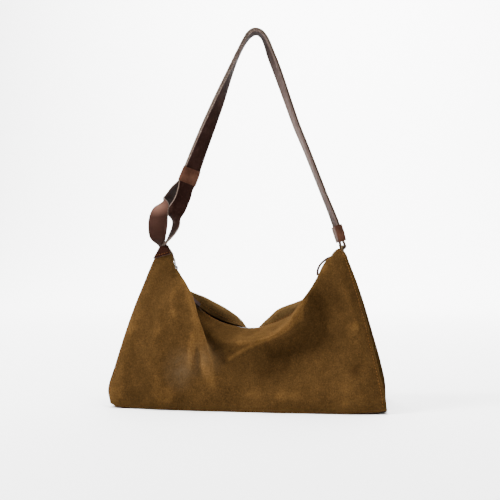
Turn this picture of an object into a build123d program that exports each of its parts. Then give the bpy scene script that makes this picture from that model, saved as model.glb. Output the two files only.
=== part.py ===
"""A suede hobo bag with a doubled leather shoulder strap.

Millimetres, +Z up. X runs along the bag, -Y is its front, and the origin is under the middle of the base.
The bag's own weight draws the opening down into a semicircle between two peaks. Everything that belongs
to the zip is turned about one axis, the centre of that semicircle, and angles along the zip are measured
from its lowest point, positive towards the right peak.
"""

import os
from math import atan2, cos, degrees, exp, pi, radians, sin

from build123d import *

# ---- driving dimensions: the shell --------------------------------------------------------------
base_width = 400.0
base_depth = 130.0
base_bow = 10.0  # how far the long bottom edges swell past the corners
base_top = 2.4  # where the upright panels start, just above the base
peak_half = 127.0  # from the middle of the bag to each peak
peak_height = 230.0
peak_share = 0.02  # of the opening's length, where its edge leaves the arc for the peak
peak_depth = 14.0  # from the middle plane to the suede's face at a peak
seam_bulge = 8.0
opening_radius = 116.0
opening_depth = 9.6  # from the middle plane to the suede's edge at the lowest point
crest_lift = 67.0  # lifts the upper part of the panel, to roll it up beside the zip
belly = 30.0  # swells the lower part of the panel
belly_lift = 23.0
panel_fullness = 4.0
suede = 1.8
lining = 0.7
lining_offset = 2.3  # from the suede's outer face to the lining
gusset_inset = 5.0
gusset_fold = 20.0
web_gap = 2.5  # between the folded web and the panels beside it

# ---- driving dimensions: the zip ----------------------------------------------------------------
zip_centre = 224.0  # height of the axis that the zip curves about
tape_radius = 118.0
tape_thickness = 0.7
tape_inner = 1.9
tape_outer = 10.0
coil_inner = 0.9
coil_outer = 2.9
coil_radius = 118.35
coil_half_height = 1.25
facing_inner = 4.2
facing_outer = 9.0
facing_thickness = 1.0
zip_reach = 84.0  # degrees from the lowest point to each end of the tape
slider_rest = -78.5
right_stop_angle = 54.0
pull_lean = 6.0  # degrees that the pull stands off the zip

# ---- driving dimensions: the strap --------------------------------------------------------------
strap_width = 26.0
leather = 2.8
layer_gap = 0.3
keeper_wall = 1.5
keeper_length = 24.0
wire = 4.0
ring_width = 35.0
ring_pitch = 12.0  # between the ring's lower and upper bars
ring_x = 132.0
ring_bottom_z = 227.0  # middle of the ring's lower bar
strap_lean = 28.0  # degrees that the strap leans in above the ring

zip_axis = Axis((0, 0, zip_centre), (0, -1, 0))

os.makedirs("parts", exist_ok=True)


def save(name, *solids):
    """Writes one named piece, or one group of like pieces."""
    shape = solids[0] if len(solids) == 1 else Compound(children=list(solids))
    export_step(shape, f"parts/{name}.step")


def mix(low, high, share):
    return low + (high - low) * share


def block(low, high):
    """A box between two opposite corners."""
    size = [high[i] - low[i] for i in range(3)]
    middle = [(high[i] + low[i]) / 2 for i in range(3)]
    return Pos(*middle) * Box(*size)


# ---- sheets: every soft panel is an even skin on a curved face -----------------------------------
def moved_in(point, u, v, depth):
    """The point under point(u, v), depth millimetres into the bag."""
    step = 0.002
    u = min(max(u, step), 1 - step)
    v = min(max(v, step), 1 - step)
    along = point(u + step, v) - point(u - step, v)
    down = point(u, v + step) - point(u, v - step)
    return point(u, v) + along.cross(down).normalized() * depth


def sheet(point, thickness, depth=0.0, us=(0.0, 1.0), vs=(0.0, 1.0), across=28, along=12):
    """A skin on the face point(u, v), set depth millimetres into the bag and thickened inwards."""
    grid = []
    for i in range(across + 1):
        u = mix(us[0], us[1], (1 - cos(pi * i / across)) / 2)
        row = []
        for j in range(along + 1):
            v = mix(vs[0], vs[1], (j / along) ** 1.4)
            row.append(moved_in(point, u, v, depth) if depth else point(u, v))
        grid.append(row)
    face = Face.make_surface_from_array_of_points(grid, tol=0.03)
    return Solid.thicken(face, thickness)


def panel_face(u, v):
    """The front panel's outer face: left seam to right seam, opening to base."""
    turn = pi * u
    middle = sin(turn)
    side = -cos(turn)
    flare = exp(-((min(u, 1 - u) / peak_share) ** 2))
    edge = Vector(
        side * mix(opening_radius, peak_half, flare),
        -mix(peak_depth, opening_depth, middle),
        zip_centre - opening_radius * middle + (peak_height - zip_centre) * flare,
    )
    foot = Vector(
        base_width / 2 * (2 * u - 1),
        -base_depth / 2 - base_bow * middle,
        base_top,
    )
    slack = middle**2
    spread = side * seam_bulge * (1 - slack)
    upper = mix(edge, foot, 1 / 3) + Vector(spread, -panel_fullness, crest_lift * slack)
    lower = mix(edge, foot, 2 / 3) + Vector(spread, -panel_fullness - belly * middle, belly_lift * slack)
    rest = 1 - v
    return edge * rest**3 + upper * (3 * rest**2 * v) + lower * (3 * rest * v**2) + foot * v**3


def gusset_face(u, v):
    """The right gusset's outer face: front to back, peak to base, folded into the bag."""
    seam = panel_face(1, v)
    across = 2 * u - 1
    fold = gusset_fold * sin(pi * v) * (1 - across**2)
    return Vector(seam.X - gusset_inset - fold, across * (-seam.Y - suede - web_gap), seam.Z)


def to_back(solid):
    return solid.mirror(Plane.XZ)


def to_left(solid):
    return solid.mirror(Plane.YZ)


front_panel = sheet(panel_face, suede)
save("front_panel", front_panel)
save("back_panel", to_back(front_panel))

gusset = sheet(gusset_face, suede, vs=(0.1, 0.993), across=12)
save("gusset_right", gusset)
save("gusset_left", to_left(gusset))

lining_front = sheet(panel_face, lining, lining_offset, us=(0.05, 0.95), vs=(0.06, 0.97))
save("lining_front", lining_front)
save("lining_back", to_back(lining_front))

lining_gusset = sheet(gusset_face, lining, lining_offset, us=(0.16, 0.84), vs=(0.2, 0.97), across=10)
save("lining_gusset_right", lining_gusset)
save("lining_gusset_left", to_left(lining_gusset))

pocket_gap = 3.6
pocket = sheet(panel_face, lining, pocket_gap, us=(0.32, 0.68), vs=(0.4, 0.86), across=12)
save("slip_pocket", to_back(pocket))


# ---- the base -----------------------------------------------------------------------------------
def base_plate(inset, low, high):
    """A plate with the base's outline, drawn in by inset."""
    half_length = base_width / 2 - inset
    half_depth = base_depth / 2 - inset
    outline = Wire(
        [
            ThreePointArc((-half_length, -half_depth), (0, -half_depth - base_bow), (half_length, -half_depth)),
            Line((half_length, -half_depth), (half_length, half_depth)),
            ThreePointArc((half_length, half_depth), (0, half_depth + base_bow), (-half_length, half_depth)),
            Line((-half_length, half_depth), (-half_length, -half_depth)),
        ]
    )
    return Pos(0, 0, low) * extrude(Face(outline), high - low)


board_inset = 9.0
board_top = 3.9
save("base_panel", base_plate(0, 0, suede))
save("base_board", base_plate(board_inset, base_top, board_top))
save("lining_base", base_plate(board_inset, board_top + 0.2, board_top + 0.2 + lining))


# ---- the zip ------------------------------------------------------------------------------------
def turned(y_low, y_high, radius_low, radius_high, start, end):
    """A strip that follows the zip from start to end degrees."""
    section = Polyline(
        (0, y_low, zip_centre - radius_high),
        (0, y_high, zip_centre - radius_high),
        (0, y_high, zip_centre - radius_low),
        (0, y_low, zip_centre - radius_low),
        close=True,
    )
    strip = revolve(Face(Wire(section.edges())), zip_axis, end - start)
    return strip.rotate(zip_axis, start)


def at_zip(angle, radius):
    """The point (x, z) on the zip's plane at an angle and a radius."""
    return radius * sin(radians(angle)), zip_centre - radius * cos(radians(angle))


tape = turned(tape_inner, tape_outer, tape_radius, tape_radius + tape_thickness, -zip_reach, zip_reach)
save("zip_tape_back", tape)
save("zip_tape_front", to_back(tape))

coil_end = zip_reach - 1.5
coil_low = coil_radius - coil_half_height
coil_high = coil_radius + coil_half_height
coil_last = right_stop_angle + 2
coil = turned(coil_inner, tape_inner, coil_low, coil_high, -coil_end, coil_last)
coil += turned(tape_inner, coil_outer, coil_low, tape_radius, -coil_end, coil_last)
save("zip_coil_back", coil)
save("zip_coil_front", to_back(coil))

facing_far = tape_radius - 0.1
facing = turned(facing_inner, facing_outer, facing_far - facing_thickness, facing_far, -zip_reach, zip_reach)
save("zip_facing_back", facing)
save("zip_facing_front", to_back(facing))

stop_span = 1.3  # degrees
stop_half = coil_inner - 0.1
stops = [
    turned(-stop_half, stop_half, coil_low, coil_high, start, start + stop_span)
    for start in (-coil_end, right_stop_angle)
]
save("zip_stops", *stops)

slider_half = 4.5
slider_side = 3.7
plate_low = zip_centre - coil_low + 0.45
plate_high = plate_low + 1.3
under_high = zip_centre - coil_high - 0.4
under_low = under_high - 1.2
bridge_side = 0.5
bail_side = 0.9
bail_half = 3.9
bail_wall = 1.3
bail_hole = bail_half - bail_wall
bail_roof = plate_high + 3.0
slider = block((-slider_half, -slider_side, plate_low), (slider_half, slider_side, plate_high))
slider += block((-slider_half, -slider_side, under_low), (slider_half, slider_side, under_high))
slider += block((-4.2, -bridge_side, under_high), (-1.6, bridge_side, plate_low))
slider += block((-bail_half, -bail_side, plate_high), (bail_half, bail_side, bail_roof + bail_wall))
slider -= block((-bail_hole, -bail_side, plate_high), (bail_hole, bail_side, bail_roof))
save("zip_slider", slider.rotate(zip_axis, slider_rest))

link_wire = 1.6
link_width = 8.0
link_drop = 9.0  # between the link's bars
pull_pivot = bail_roof - link_wire / 2 - 0.15
pull_x, pull_z = at_zip(slider_rest, zip_centre - pull_pivot)
pull_angle = 90 + slider_rest + pull_lean


def hung(shape):
    """Hangs a piece of the pull, drawn below the origin, from the slider."""
    return Pos(pull_x, 0, pull_z) * shape.rotate(Axis((0, 0, 0), (0, -1, 0)), pull_angle)


def rounded_ring(width, height, thickness):
    """A wire ring in the YZ plane, its upper bar on the Y axis and its lower bar height below."""
    corner = min(width - thickness, height) * 0.25
    path = Plane.YZ * Pos(0, -height / 2) * RectangleRounded(width - thickness, height, corner)
    start = Plane((0, 0, 0), z_dir=(0, 1, 0))
    return sweep(start * Circle(thickness / 2), path=path.face().outer_wire())


save("pull_link", hung(rounded_ring(link_width, link_drop, link_wire)))

eye_inner = link_wire / 2 + 0.3
eye_outer = eye_inner + 1.5
eye_width = 2.9
tab_width = 11.0
tab_thickness = 3.0
tab_top = -link_drop - 3.6
tab_bottom = tab_top - 21.0
half_tab = tab_thickness / 2
at_eye = Pos(0, 0, -link_drop) * Rot(90, 0, 0)
tab = at_eye * Cylinder(eye_outer, eye_width)
tab += block((-half_tab, -eye_width / 2, tab_top - 1), (half_tab, eye_width / 2, -link_drop))
tab += block((-half_tab, -tab_width / 2, tab_bottom), (half_tab, tab_width / 2, tab_top))
tab -= at_eye * Cylinder(eye_inner, eye_width)
save("pull_tab", hung(tab))


# ---- bands: straps and tabs bent in the XZ plane --------------------------------------------------
def band(centre_line, low, high, width, stations=24, start=0.0, end=1.0):
    """A flat strip, its faces low and high to the right of a line drawn in the XZ plane."""
    sides = {low: [], high: []}
    for i in range(stations + 1):
        share = mix(start, end, i / stations)
        place = centre_line @ share
        heading = centre_line % share
        across = Vector(heading.Z, 0, -heading.X)
        for side, points in sides.items():
            points.append(place + across * side)
    edges = [
        Spline(*sides[low]),
        Line(sides[low][-1], sides[high][-1]),
        Spline(*reversed(sides[high])),
        Line(sides[high][0], sides[low][0]),
    ]
    return extrude(Face(Wire(edges)), width / 2, dir=(0, 1, 0), both=True)


def line_through(*points):
    return Spline(*[Vector(x, 0, z) for x, z in points])


end_tab_thickness = 1.6
end_tab_width = 9.0
end_tab_line = line_through(
    at_zip(70, 115.6),
    at_zip(73, 107),
    at_zip(78, 101),
    at_zip(83, 105),
    at_zip(85, 113),
)
save("zip_end_tab", band(end_tab_line, -end_tab_thickness / 2, end_tab_thickness / 2, end_tab_width))

# ---- the leather cap on the left peak ------------------------------------------------------------
cap_leather = 1.4
cap_gap = 0.25
cap_end_gap = 0.7
cap_share = 0.028  # of the panel's length
cap_drop = 0.08  # of the seam's length


def cap_side_face(u, v):
    """The part of the panel's face that the cap covers, down to a level lower edge."""
    return panel_face(1 - cap_share * (1 - u), v * mix(0.012, cap_drop, u))


def cap_end_face(u, v):
    """The strip that closes the cap over the gusset's tip."""
    seam = panel_face(1, v)
    across = 2 * u - 1
    return Vector(seam.X + cap_end_gap + cap_leather, across * (-seam.Y + cap_gap), seam.Z)


cap_side = sheet(cap_side_face, cap_leather, -cap_gap - cap_leather, across=6, along=4)
cap_end = sheet(cap_end_face, cap_leather, vs=(0.0, cap_drop), across=4, along=4)
cap = [cap_side, to_back(cap_side), cap_end]
save("corner_cap_left", *[to_left(piece) for piece in cap])

# ---- the strap ----------------------------------------------------------------------------------
layer_near = layer_gap / 2
layer_far = layer_near + leather
split = (-97.5, 315.0)  # where the two layers part, below the left keeper
fold_share = 0.952  # of the strap's length, where it bends above the right keeper
fold_gap = 0.001
loop_length = 26.0


def at_ring(x, z):
    """A point in the strap's own leaning frame about the ring's upper bar."""
    lean = radians(strap_lean)
    return ring_x + x * cos(lean) - z * sin(lean), ring_top_z + x * sin(lean) + z * cos(lean)


ring_top_z = ring_bottom_z + ring_pitch
main_line = line_through(
    split,
    (-79, 358),
    (-53, 424),
    (-30, 487),
    (-17, 520),
    (4, 533),
    (20, 516),
    (31, 487),
    (53, 424),
    (79, 358),
    (106, 288),
    at_ring(0, loop_length + 0.3),
)
for name, near, far in (("strap_outer", -layer_far, -layer_near), ("strap_inner", layer_near, layer_far)):
    save(name, band(main_line, near, far, strap_width, 60, 0, fold_share))
save(
    "strap_bend_right",
    band(main_line, -layer_far, -layer_near, strap_width, 8, fold_share + fold_gap, 1),
    band(main_line, layer_near, layer_far, strap_width, 8, fold_share + fold_gap, 1),
)

outer_limb_line = line_through(
    (-99, 314),
    (-122, 303),
    (-140, 281),
    (-146, 258),
    (-140, 242),
    (-124.5, 236.2),
)
inner_limb_line = line_through((-96, 313), (-103, 290), (-109, 266), (-117, 247), (-120.6, 235))
save("strap_limb_outer", band(outer_limb_line, -leather / 2, leather / 2, strap_width))
save("strap_limb_inner", band(inner_limb_line, -leather / 2, leather / 2, strap_width))

root_half = 10.5
save("strap_root_left", block((-126.3, -root_half, 217), (-117.6, root_half, 234.3)))

# ---- the ring end -------------------------------------------------------------------------------
save("ring", Pos(ring_x, 0, ring_top_z) * rounded_ring(ring_width, ring_pitch, wire))

bend_radius = wire / 2 + 0.3 + leather / 2
layer_middle = layer_near + leather / 2
bend = [
    (bend_radius * cos(radians(angle)), bend_radius * sin(radians(angle)))
    for angle in range(0, -181, -30)
]
loop_line = line_through(
    at_ring(layer_middle, loop_length),
    at_ring(mix(layer_middle, bend_radius, 0.4), loop_length * 0.6),
    *[at_ring(x, z) for x, z in bend],
    at_ring(-mix(layer_middle, bend_radius, 0.4), loop_length * 0.6),
    at_ring(-layer_middle, loop_length),
)
save("strap_loop_right", band(loop_line, -leather / 2, leather / 2, strap_width, 48))


def keeper(inner_half, length):
    """A leather tube that holds the layers together, along Z."""
    inner_width = strap_width + 0.6
    outer = Box(2 * (inner_half + keeper_wall), inner_width + 2 * keeper_wall, length)
    return outer - Box(2 * inner_half, inner_width, length)


right_keeper_length = 17.0
right_keeper_height = loop_length - 10.5  # above the ring's upper bar
right_keeper = Pos(0, 0, right_keeper_height) * keeper(5.4, right_keeper_length)
save("keeper_right", Pos(ring_x, 0, ring_top_z) * right_keeper.rotate(Axis.Y, -strap_lean))

left_keeper_share = 0.025
left_place = main_line @ left_keeper_share
left_heading = main_line % left_keeper_share
left_lean = degrees(atan2(left_heading.X, left_heading.Z))
save("keeper_left", Pos(left_place) * keeper(layer_far + 0.4, keeper_length).rotate(Axis.Y, left_lean))

chape_leather = 1.8
chape_radius = wire / 2 + 0.3 + chape_leather / 2
chape_line = line_through(
    (119.0, 218.0),
    (123.5, 227.5),
    *[
        (ring_x + chape_radius * sin(radians(angle)), ring_bottom_z + chape_radius * cos(radians(angle)))
        for angle in range(-30, 201, 30)
    ],
    (124.8, 220.5),
    (122.3, 216.8),
)
save("ring_chape_right", band(chape_line, -chape_leather / 2, chape_leather / 2, 21.0, 36))
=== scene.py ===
"""A suede hobo bag with a doubled leather strap, standing on a pale floor. Shapes are worked out in
millimetres; materials, lights and the camera are in metres."""

import math
from math import cos, pi, radians, sin

import bpy
import numpy as np
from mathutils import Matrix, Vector, noise


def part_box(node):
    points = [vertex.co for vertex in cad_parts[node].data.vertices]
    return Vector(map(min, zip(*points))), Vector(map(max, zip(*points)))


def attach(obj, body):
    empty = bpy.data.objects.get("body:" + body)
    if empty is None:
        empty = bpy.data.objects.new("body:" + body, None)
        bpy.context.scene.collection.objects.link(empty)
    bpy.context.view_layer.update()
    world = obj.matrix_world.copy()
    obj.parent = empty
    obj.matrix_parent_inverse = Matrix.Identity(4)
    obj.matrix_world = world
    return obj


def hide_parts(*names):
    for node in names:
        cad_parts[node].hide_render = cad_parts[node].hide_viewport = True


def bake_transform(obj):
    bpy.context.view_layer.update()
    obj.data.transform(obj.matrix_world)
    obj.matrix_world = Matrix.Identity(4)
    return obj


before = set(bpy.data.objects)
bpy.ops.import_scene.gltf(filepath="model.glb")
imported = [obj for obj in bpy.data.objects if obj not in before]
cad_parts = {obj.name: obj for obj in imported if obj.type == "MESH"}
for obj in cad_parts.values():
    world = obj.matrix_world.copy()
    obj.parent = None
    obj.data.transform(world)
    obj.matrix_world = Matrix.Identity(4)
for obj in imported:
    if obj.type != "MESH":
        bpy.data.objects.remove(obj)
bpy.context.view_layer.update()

MM = 0.001


# ---- node helpers ----
class Nodes:
    """A short way to write a material's node tree."""

    def __init__(self, name):
        self.material = bpy.data.materials.new(name)
        self.material.use_nodes = True
        self.tree = self.material.node_tree
        self.shader = self.tree.nodes["Principled BSDF"]
        coords = self.tree.nodes.new("ShaderNodeTexCoord")
        self.place = coords.outputs["Object"]

    def new(self, kind, **inputs):
        node = self.tree.nodes.new(kind)
        for key, value in inputs.items():
            self.feed(node.inputs[key.replace("_", " ")], value)
        return node

    def feed(self, socket, value):
        if isinstance(value, bpy.types.NodeSocket):
            self.tree.links.new(value, socket)
        else:
            socket.default_value = value

    def noise(self, scale, detail, roughness, stretch=None, distortion=0.0):
        place = self.place
        if stretch:
            place = self.new("ShaderNodeMapping", Vector=place, Scale=stretch).outputs["Vector"]
        node = self.new("ShaderNodeTexNoise", Vector=place, Scale=scale, Detail=detail, Roughness=roughness,
                        Distortion=distortion)
        return node.outputs["Fac"]

    def cells(self, scale):
        return self.new("ShaderNodeTexVoronoi", Vector=self.place, Scale=scale).outputs["Distance"]

    def vector_math(self, kind, first, second=(0, 0, 0)):
        node = self.new("ShaderNodeVectorMath")
        node.operation = kind
        self.feed(node.inputs[0], first)
        self.feed(node.inputs[1], second)
        return node.outputs["Value" if kind == "LENGTH" else "Vector"]

    def near(self, centre, half):
        """One at a centre, falling to nothing at the half sizes from it."""
        share = self.vector_math("DIVIDE", self.vector_math("SUBTRACT", self.place, centre), half)
        return self.between(self.vector_math("LENGTH", share), 0.1, 1.0, 1, 0)

    def ramp(self, value, *stops):
        node = self.new("ShaderNodeValToRGB", Fac=value)
        ramp = node.color_ramp
        while len(ramp.elements) < len(stops):
            ramp.elements.new(0.5)
        for element, (position, colour) in zip(ramp.elements, stops):
            element.position = position
            element.color = (*colour, 1)
        return node.outputs["Color"]

    def between(self, value, low, high, start=0.0, end=1.0):
        limits = {"From_Min": low, "From_Max": high, "To_Min": start, "To_Max": end}
        return self.new("ShaderNodeMapRange", Value=value, **limits).outputs["Result"]

    def mix(self, factor, first, second, mode="MIX"):
        node = self.new("ShaderNodeMix")
        node.data_type = "RGBA"
        node.blend_type = mode
        self.feed(node.inputs["Factor"], factor)
        for key, value in (("A", first), ("B", second)):
            socket = next(s for s in node.inputs if s.name == key and s.type == "RGBA")
            self.feed(socket, (*value, 1) if isinstance(value, tuple) else value)
        return next(s for s in node.outputs if s.type == "RGBA")

    def math(self, kind, first, second):
        node = self.new("ShaderNodeMath")
        node.operation = kind
        self.feed(node.inputs[0], first)
        self.feed(node.inputs[1], second)
        return node.outputs[0]

    def bump(self, height, distance, strength, under=None):
        node = self.new("ShaderNodeBump", Height=height, Strength=strength, Distance=distance)
        if under:
            self.feed(node.inputs["Normal"], under)
        return node.outputs["Normal"]

    def finish(self, colour, roughness, normal=None, **values):
        """The material, once its shader has its inputs; values are the constant ones."""
        self.feed(self.shader.inputs["Base Color"], (*colour, 1) if isinstance(colour, tuple) else colour)
        self.feed(self.shader.inputs["Roughness"], roughness)
        if normal:
            self.feed(self.shader.inputs["Normal"], normal)
        for key, value in values.items():
            self.shader.inputs[key.replace("_", " ")].default_value = value
        return self.material


def shade(colour, factor):
    return tuple(min(1.0, c * factor) for c in colour)


# ---- materials ----
def suede_material(name="suede", base=(0.0326, 0.0171, 0.0056), marks=()):
    """Brushed suede: cloudy nap and fine fibres, lighter where the relief attribute is above zero and darker
    where it is below, a painted highlight on raised creases and painted shade in hollows. Each mark is
    (centre, half size, colour, strength)."""
    n = Nodes(name)
    patches = n.noise(11, 4, 0.6, distortion=0.3)
    mottle = n.noise(75, 5, 0.7)
    nap = n.noise(620, 4, 0.75, stretch=(1, 1, 0.75))
    fibre = n.noise(1700, 2, 0.6, stretch=(1, 1, 0.4))
    colour = n.ramp(patches, (0.32, shade(base, 0.82)), (0.5, base), (0.7, shade(base, 1.2)))
    spots = n.ramp(mottle, (0.3, (0.8, 0.8, 0.78)), (0.5, (1, 1, 1)), (0.72, (1.22, 1.2, 1.18)))
    colour = n.mix(0.9, colour, spots, "MULTIPLY")
    fine = n.ramp(nap, (0.28, (0.5, 0.5, 0.48)), (0.5, (1, 1, 1)), (0.7, (1.6, 1.56, 1.5)))
    colour = n.mix(0.85, colour, fine, "MULTIPLY")
    # the relief attribute paints highlight on raised creases and shade in hollows
    relief = n.new("ShaderNodeAttribute")
    relief.attribute_name = "relief"
    height = n.between(relief.outputs["Fac"], -3.0, 3.0)
    wear_and_painted_light = n.ramp(height, (0.1, (0.55, 0.53, 0.5)), (0.5, (1, 1, 1)), (0.85, (1.9, 1.85, 1.75)))
    colour = n.mix(1.0, colour, wear_and_painted_light, "MULTIPLY")
    scuffs = n.between(n.noise(38, 6, 0.75, distortion=1.2), 0.64, 0.8, 0, 0.25)
    colour = n.mix(scuffs, colour, shade(base, 1.8))
    for centre, half, tone, strength in marks:
        near = n.near(centre, half)
        broken = n.between(n.noise(55, 6, 0.8, distortion=0.4), 0.36, 0.66, 0.2, 1)
        colour = n.mix(n.math("MULTIPLY", n.math("MULTIPLY", near, broken), strength), colour, tone)
    normal = n.bump(mottle, 0.0012, 0.6)
    normal = n.bump(nap, 0.0006, 0.8, normal)
    normal = n.bump(fibre, 0.00018, 0.7, normal)
    return n.finish(
        colour, n.between(mottle, 0.3, 0.7, 0.86, 0.98), normal,
        Sheen_Weight=0.08, Sheen_Roughness=0.4, Sheen_Tint=(0.9, 0.5, 0.18, 1), Specular_IOR_Level=0.0,
    )


def leather_material(name, base, light, roughness, specular, coat=0.0, wear_and_painted_light=()):
    """Smooth leather with cloudy dye, pores and fine creases. Each place of painted light is (centre, half
    size, colour, strength)."""
    n = Nodes(name)
    cloud = n.noise(30, 4, 0.6)
    pores = n.cells(900)
    creases = n.noise(260, 5, 0.7)
    colour = n.ramp(cloud, (0.3, shade(base, 0.72)), (0.52, base), (0.75, light))
    tone = n.ramp(creases, (0.3, (0.75, 0.74, 0.73)), (0.55, (1, 1, 1)), (0.75, (1.2, 1.18, 1.15)))
    colour = n.mix(0.6, colour, tone, "MULTIPLY")
    # painted light: each place is lightened towards its colour
    for centre, half, lighter, strength in wear_and_painted_light:
        colour = n.mix(n.math("MULTIPLY", n.near(centre, half), strength), colour, lighter)
    normal = n.bump(creases, 0.0004, 0.45)
    normal = n.bump(pores, 0.00022, 0.4, normal)
    return n.finish(
        colour, n.between(creases, 0.3, 0.7, roughness + 0.1, roughness - 0.06), normal,
        Coat_Weight=coat, Coat_Roughness=0.35, Specular_IOR_Level=specular,
    )


def edge_material(name, base, light, right=None):
    """The raw or painted cut edge of leather, with its fibres. A right-hand colour, painted light and shade,
    takes over on the strap's right limb."""
    n = Nodes(name)
    fibres = n.noise(900, 4, 0.7)
    wear = n.noise(110, 4, 0.6)
    colour = n.ramp(fibres, (0.3, shade(base, 0.6)), (0.5, base), (0.7, light))
    # the right-hand colour paints the light and shade of the right limb's edges
    if right:
        parts = n.new("ShaderNodeSeparateXYZ", Vector=n.place)
        colour = n.mix(n.between(parts.outputs["X"], 0.0, 0.05), colour, right)
    tone = n.ramp(wear, (0.35, (0.7, 0.68, 0.66)), (0.6, (1.1, 1.1, 1.1)))
    colour = n.mix(0.6, colour, tone, "MULTIPLY")
    return n.finish(colour, 0.8, n.bump(fibres, 0.0003, 0.7), Specular_IOR_Level=0.0)


def thread_material(name, base):
    n = Nodes(name)
    twist = n.noise(1500, 2, 0.5, stretch=(1, 1, 0.3))
    colour = n.ramp(twist, (0.35, shade(base, 0.65)), (0.6, shade(base, 1.25)))
    return n.finish(colour, 0.7, n.bump(twist, 0.0002, 0.6), Specular_IOR_Level=0.1)


def cloth_material(name, base, threads=950):
    n = Nodes(name)
    warp, weft = (n.new("ShaderNodeTexWave", Vector=n.place, Scale=threads) for _ in range(2))
    warp.bands_direction, weft.bands_direction = "X", "Z"
    weave = n.math("MULTIPLY", warp.outputs["Fac"], weft.outputs["Fac"])
    soil = n.noise(60, 4, 0.6)
    colour = n.ramp(weave, (0.0, shade(base, 0.6)), (1.0, shade(base, 1.3)))
    tone = n.ramp(soil, (0.3, (0.8, 0.8, 0.8)), (0.7, (1.1, 1.1, 1.1)))
    colour = n.mix(0.7, colour, tone, "MULTIPLY")
    return n.finish(colour, 0.85, n.bump(weave, 0.0003, 0.6), Sheen_Weight=0.03, Specular_IOR_Level=0.08)


def metal_material(name, base, roughness, dark=0.5, amount=0.5):
    n = Nodes(name)
    tarnish = n.noise(420, 5, 0.65)
    scratches = n.noise(1300, 3, 0.6, stretch=(1, 4, 0.3))
    colour = n.ramp(tarnish, (0.32, shade(base, dark)), (0.55, base), (0.8, shade(base, 1.15)))
    wear_and_painted_light = n.between(tarnish, 0.3, 0.7, roughness + 0.22 * amount, roughness)
    return n.finish(colour, wear_and_painted_light, n.bump(scratches, 0.00008, 0.35), Metallic=1.0)


def plastic_material(name, base):
    n = Nodes(name)
    wear = n.noise(700, 3, 0.6)
    colour = n.ramp(wear, (0.3, shade(base, 0.7)), (0.7, shade(base, 1.3)))
    return n.finish(colour, n.between(wear, 0.3, 0.7, 0.5, 0.36), n.bump(wear, 0.0001, 0.4))


suede = suede_material(
    marks=(
        ((-0.086, -0.068, 0.056), (0.027, 0.05, 0.034), (0.1, 0.07, 0.042), 0.3),
        ((-0.052, -0.066, 0.07), (0.03, 0.05, 0.03), (0.1, 0.07, 0.042), 0.22),
        ((0.152, -0.06, 0.057), (0.012, 0.04, 0.016), (0.012, 0.0055, 0.0018), 0.8),
    )
)
suede_rear = suede_material(
    "suede_rear", (0.045, 0.0255, 0.0095),
    marks=(
        ((0.055, 0.01, 0.147), (0.055, 0.05, 0.04), (0.095, 0.058, 0.024), 0.6),
        ((-0.04, 0.01, 0.147), (0.05, 0.05, 0.03), (0.075, 0.045, 0.018), 0.4),
    )
)
suede_back = suede_material("suede_flesh_side", (0.045, 0.028, 0.0135))
strap_leather = leather_material("strap_leather", (0.0112, 0.0044, 0.003), (0.023, 0.0098, 0.007), 0.5, 0.06)
strap_inside = leather_material(
    "strap_inner_face", (0.0115, 0.0047, 0.0034), (0.022, 0.0100, 0.0078), 0.66, 0.01,
    wear_and_painted_light=(
        # painted light on the strap's inner face: the petal painted lighter, a painted highlight along the
        # petal's top, painted light on the inner limb's shaded lower part, and a painted mauve sheen over the
        # right limb
        ((-0.137, -0.01, 0.258), (0.03, 0.06, 0.05), (0.034, 0.0155, 0.0108), 0.6),
        ((-0.134, -0.01, 0.281), (0.026, 0.05, 0.016), (0.12, 0.06, 0.043), 0.6),
        ((-0.108, -0.004, 0.248), (0.016, 0.05, 0.022), (0.05, 0.027, 0.021), 0.7),
        ((0.085, 0.0, 0.38), (0.09, 0.1, 0.17), (0.085, 0.059, 0.051), 0.9),
    ),
)
keeper_leather = leather_material("keeper_leather", (0.036, 0.0148, 0.0088), (0.066, 0.029, 0.018), 0.6, 0.02)
facing_leather = leather_material(
    "facing_leather", (0.045, 0.024, 0.019), (0.08, 0.048, 0.04), 0.5, 0.2, coat=0.12
)
tab_leather = leather_material("tab_leather", (0.0125, 0.0045, 0.003), (0.024, 0.0098, 0.007), 0.6, 0.0)
EDGE_TONES = (0.06, 0.042, 0.034), (0.2, 0.155, 0.13)
# the third colour paints shade on the outer layer's edge along the right limb and a mauve sheen on the inner
# layer's edge there
strap_edge = edge_material("strap_cut_edge", *EDGE_TONES, (0.036, 0.022, 0.017))
inner_edge = edge_material("strap_inner_cut_edge", *EDGE_TONES, (0.09, 0.062, 0.054))
suede_edge = edge_material("suede_cut_edge", (0.032, 0.018, 0.0085), (0.066, 0.042, 0.024))
dark_edge = edge_material("dark_painted_edge", (0.03, 0.018, 0.014), (0.07, 0.045, 0.038))
thread = thread_material("orange_brown_thread", (0.1, 0.036, 0.0055))
dark_thread = thread_material("dark_thread", (0.09, 0.035, 0.018))
lining_cloth = cloth_material("lining_cloth", (0.03, 0.018, 0.011))
zip_cloth = cloth_material("zip_cloth", (0.008, 0.005, 0.004), 1300)
coil_nylon = plastic_material("coil_nylon", (0.028, 0.02, 0.017))
board = plastic_material("board", (0.08, 0.07, 0.06))
nickel = metal_material("nickel", (0.72, 0.71, 0.69), 0.2, 0.75)
brass = metal_material("aged_brass", (0.075, 0.05, 0.027), 0.45, 0.4, 0.8)

# each sheet's outer face, inner face and edge
SUEDE = (suede, suede_back, suede_edge)
REAR_SUEDE = (suede_rear, suede_back, suede_edge)
LINING = (lining_cloth,) * 3
STRAP = (strap_leather, strap_inside, strap_edge)
INNER_STRAP = (strap_leather, strap_inside, inner_edge)
SMALL_LEATHER = (tab_leather, tab_leather, dark_edge)


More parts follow.
